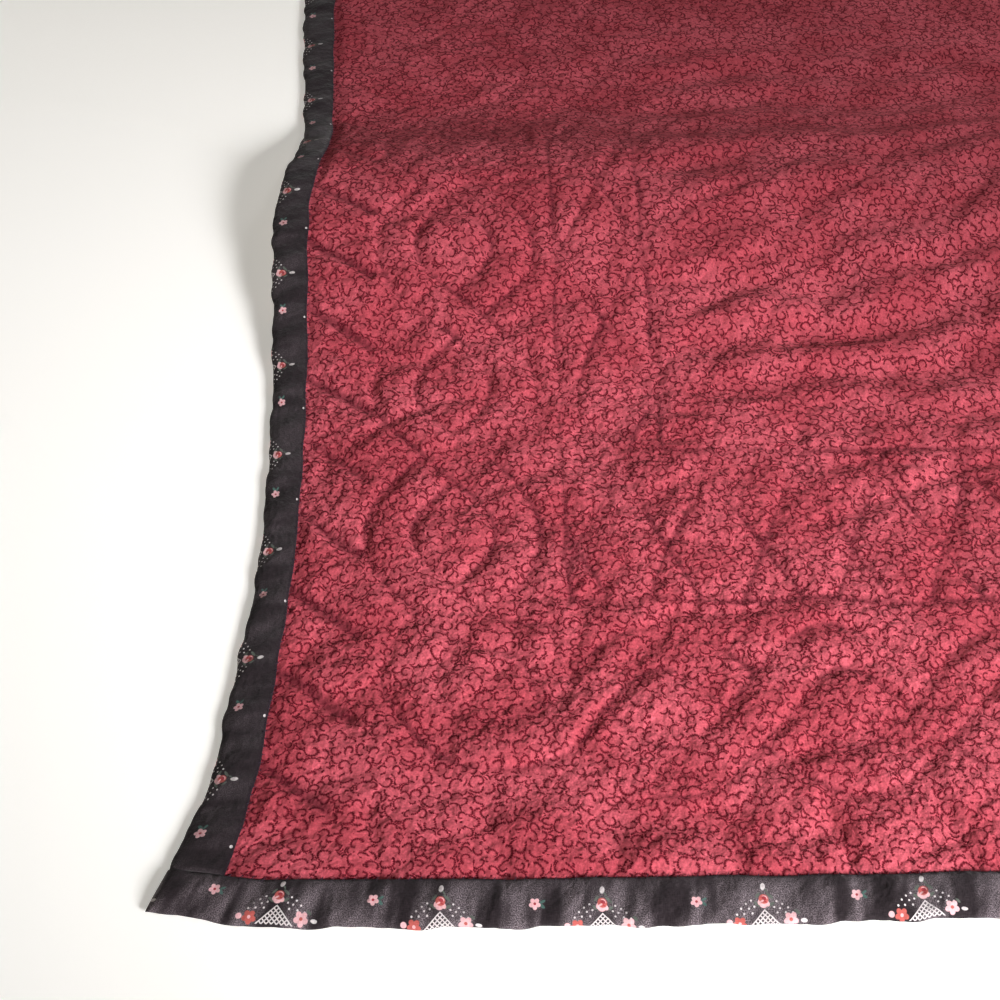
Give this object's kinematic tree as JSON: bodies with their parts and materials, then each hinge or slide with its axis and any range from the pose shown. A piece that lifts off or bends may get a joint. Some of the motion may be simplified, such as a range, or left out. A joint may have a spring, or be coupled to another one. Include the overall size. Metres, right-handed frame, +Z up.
{
  "type": "quilt",
  "caption": "Quilted bed cover lying printed side up with a soft ridge across it, a twisted cable quilted round its border and folded binding strips on its edges.",
  "frame": {"origin": "middle of the cover's outline, on the surface that it lies on", "axes": "+Y from the front edge to the back edge along the cover's length, +X to the right across it, +Z up"},
  "size_m": [0.948, 1.1752, 0.0374],
  "materials": {
    "printed_cotton": "matt woven cotton, rose red with a fine dark scroll print",
    "floral_tape": "matt woven cotton, charcoal with small flowers"
  },
  "bodies": {
    "root": {"quilt_body": "printed_cotton", "binding_front": "floral_tape", "binding_back": "floral_tape", "binding_left": "floral_tape", "binding_right": "floral_tape"}
  },
  "joints": []
}
